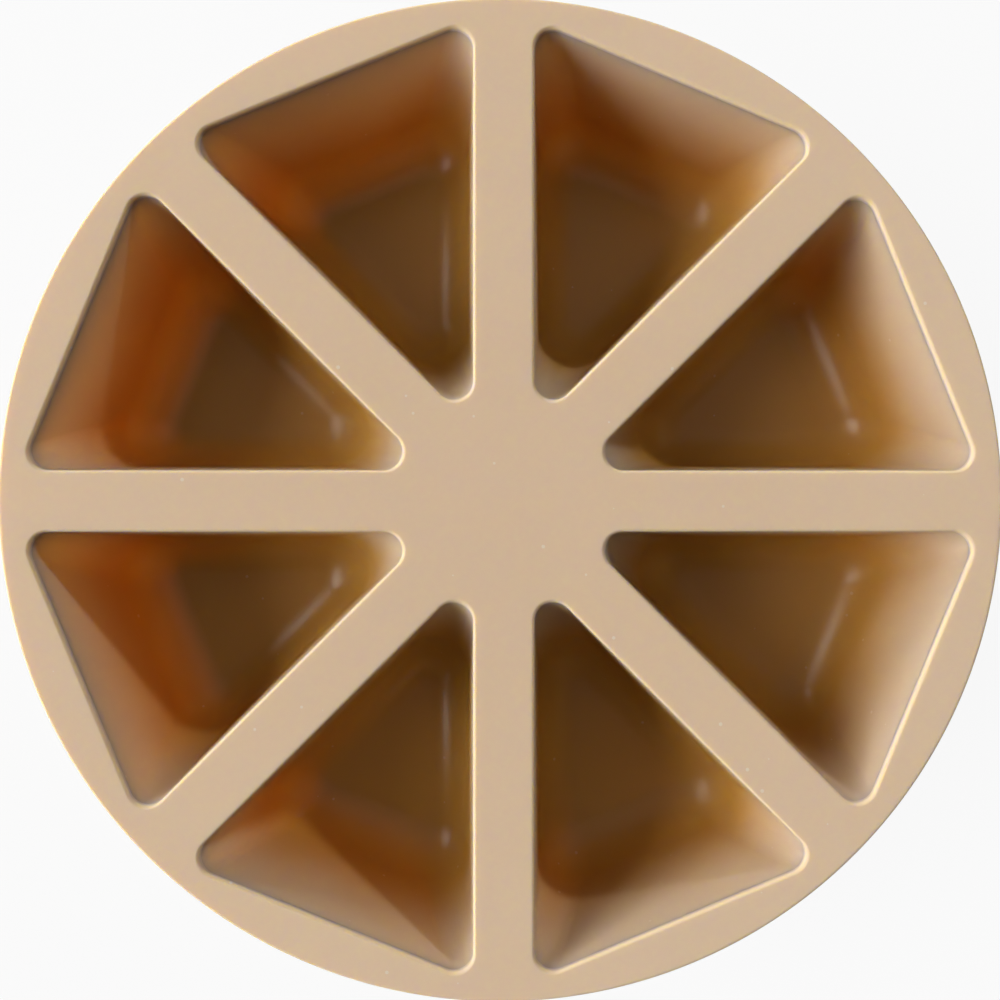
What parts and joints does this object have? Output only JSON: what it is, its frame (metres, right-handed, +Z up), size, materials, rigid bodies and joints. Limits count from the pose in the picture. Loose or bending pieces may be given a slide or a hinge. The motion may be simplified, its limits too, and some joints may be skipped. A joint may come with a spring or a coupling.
{
  "type": "silicone mold",
  "caption": "Round silicone mould with wedge-shaped drafted cups under a flat deck of hub, spokes and rim; each cup's floor pushes up to release a slice.",
  "frame": {"origin": "middle of the underside, on the surface that the cups stand on", "axes": "+Z up along the axis of symmetry, +X along a spoke"},
  "size_m": [0.265, 0.265, 0.048],
  "materials": {
    "silicone": "satin"
  },
  "bodies": {
    "mould": {"hub": "silicone", "rim": "silicone", "spoke_1": "silicone", "spoke_2": "silicone", "spoke_3": "silicone", "spoke_4": "silicone", "spoke_5": "silicone", "spoke_6": "silicone", "spoke_7": "silicone", "spoke_8": "silicone", "cup_1": "silicone", "cup_2": "silicone", "cup_3": "silicone", "cup_4": "silicone", "cup_5": "silicone", "cup_6": "silicone", "cup_7": "silicone", "cup_8": "silicone"},
    "push_floor_1": {"cup_floor_1": "silicone"},
    "push_floor_2": {"cup_floor_2": "silicone"},
    "push_floor_3": {"cup_floor_3": "silicone"},
    "push_floor_4": {"cup_floor_4": "silicone"},
    "push_floor_5": {"cup_floor_5": "silicone"},
    "push_floor_6": {"cup_floor_6": "silicone"},
    "push_floor_7": {"cup_floor_7": "silicone"},
    "push_floor_8": {"cup_floor_8": "silicone"}
  },
  "joints": [
    {"name": "floor_push_1", "type": "slide", "parent": "mould", "child": "push_floor_1", "axis": [0, 0, 1], "range_m": [0, 0.015], "stiffness_N_per_m": 500},
    {"name": "floor_push_2", "type": "slide", "parent": "mould", "child": "push_floor_2", "axis": [0, 0, 1], "range_m": [0, 0.015], "stiffness_N_per_m": 500},
    {"name": "floor_push_3", "type": "slide", "parent": "mould", "child": "push_floor_3", "axis": [0, 0, 1], "range_m": [0, 0.015], "stiffness_N_per_m": 500},
    {"name": "floor_push_4", "type": "slide", "parent": "mould", "child": "push_floor_4", "axis": [0, 0, 1], "range_m": [0, 0.015], "stiffness_N_per_m": 500},
    {"name": "floor_push_5", "type": "slide", "parent": "mould", "child": "push_floor_5", "axis": [0, 0, 1], "range_m": [0, 0.015], "stiffness_N_per_m": 500},
    {"name": "floor_push_6", "type": "slide", "parent": "mould", "child": "push_floor_6", "axis": [0, 0, 1], "range_m": [0, 0.015], "stiffness_N_per_m": 500},
    {"name": "floor_push_7", "type": "slide", "parent": "mould", "child": "push_floor_7", "axis": [0, 0, 1], "range_m": [0, 0.015], "stiffness_N_per_m": 500},
    {"name": "floor_push_8", "type": "slide", "parent": "mould", "child": "push_floor_8", "axis": [0, 0, 1], "range_m": [0, 0.015], "stiffness_N_per_m": 500}
  ]
}
